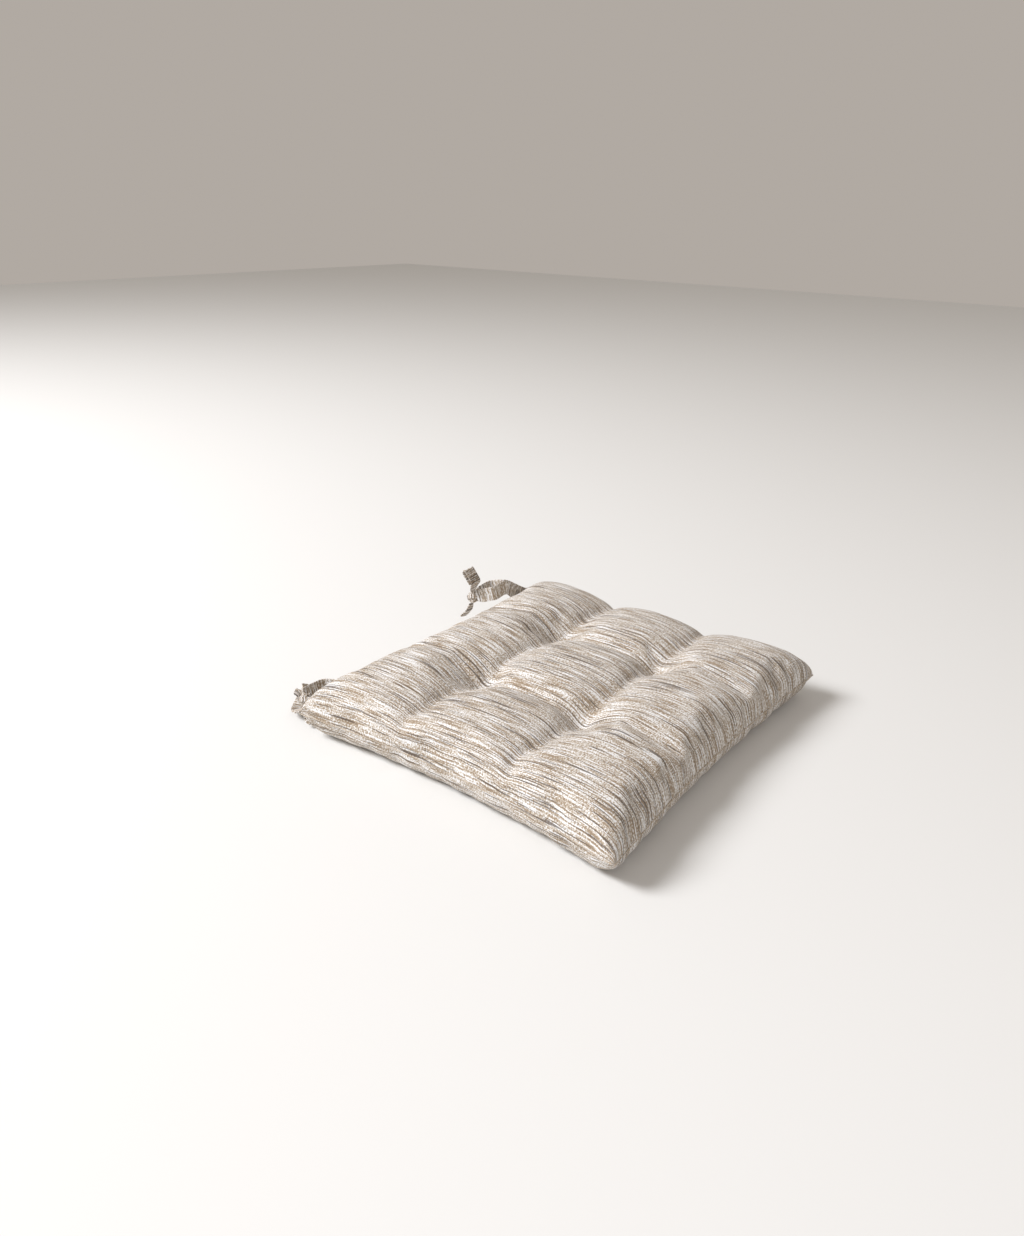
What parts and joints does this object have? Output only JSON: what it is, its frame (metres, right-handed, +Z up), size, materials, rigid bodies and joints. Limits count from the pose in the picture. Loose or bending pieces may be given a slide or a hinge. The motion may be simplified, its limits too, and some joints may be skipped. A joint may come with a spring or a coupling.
{
  "type": "tufted chair seat pad with ties",
  "caption": "Square padded seat cushion for a dining chair, thread-tufted into pillows, knife-edge seam all round, with cloth ties at both rear corners knotted in bows.",
  "frame": {"origin": "middle of the flat underside, on the plane that the pad rests on", "axes": "+Z up through the pad's thickness, -Y towards the front edge, +X to the right as seen from the front; the ties are at the rear corners, +Y"},
  "size_m": [0.4554, 0.4714, 0.0903],
  "materials": {
    "cover_cloth": "slub-woven cotton, striped",
    "tie_cloth": "the same slub weave, folded and stitched flat",
    "fibre_filling": "loose polyester fibre",
    "sewing_thread": "twisted sewing thread"
  },
  "bodies": {
    "pad": {"top_cover": "cover_cloth", "bottom_cover": "cover_cloth", "fibre_filling": "fibre_filling", "perimeter_seam_thread": "sewing_thread", "closing_seam_thread": "sewing_thread", "tuft_thread_front_left": "sewing_thread", "tuft_thread_front_right": "sewing_thread", "tuft_thread_rear_left": "sewing_thread", "tuft_thread_rear_right": "sewing_thread"},
    "left_tie": {"left_inner_tie": "tie_cloth", "left_outer_tie": "tie_cloth", "left_knot": "tie_cloth"},
    "left_bow": {"left_bow_loop": "tie_cloth"},
    "left_end": {"left_tail": "tie_cloth"},
    "right_tie": {"right_inner_tie": "tie_cloth", "right_outer_tie": "tie_cloth", "right_knot": "tie_cloth"},
    "right_bow": {"right_bow_loop": "tie_cloth"},
    "right_end": {"right_tail": "tie_cloth"}
  },
  "joints": [
    {"name": "left_tie_flex", "type": "hinge", "parent": "pad", "child": "left_tie", "pos_m": [-0.197, 0.20388, 0.028], "axis": [1, 0, 0], "range_deg": [0, 20]},
    {"name": "left_bow_flop", "type": "hinge", "parent": "left_tie", "child": "left_bow", "pos_m": [-0.2035, 0.22694, 0.01552], "axis": [1, 0, 0], "range_deg": [0, 12]},
    {"name": "left_tail_swing", "type": "hinge", "parent": "left_tie", "child": "left_end", "pos_m": [-0.2035, 0.22294, 0.01552], "axis": [1, 0, 0], "range_deg": [-25, 8]},
    {"name": "right_tie_flex", "type": "hinge", "parent": "pad", "child": "right_tie", "pos_m": [0.197, 0.20388, 0.028], "axis": [1, 0, 0], "range_deg": [-4, 20]},
    {"name": "right_bow_flop", "type": "hinge", "parent": "right_tie", "child": "right_bow", "pos_m": [0.115, 0.24191, 0.05637], "axis": [1, 0, 0], "range_deg": [-35, 10]},
    {"name": "right_tail_swing", "type": "hinge", "parent": "right_tie", "child": "right_end", "pos_m": [0.115, 0.24595, 0.0344], "axis": [1, 0, 0], "range_deg": [-30, 35]}
  ]
}
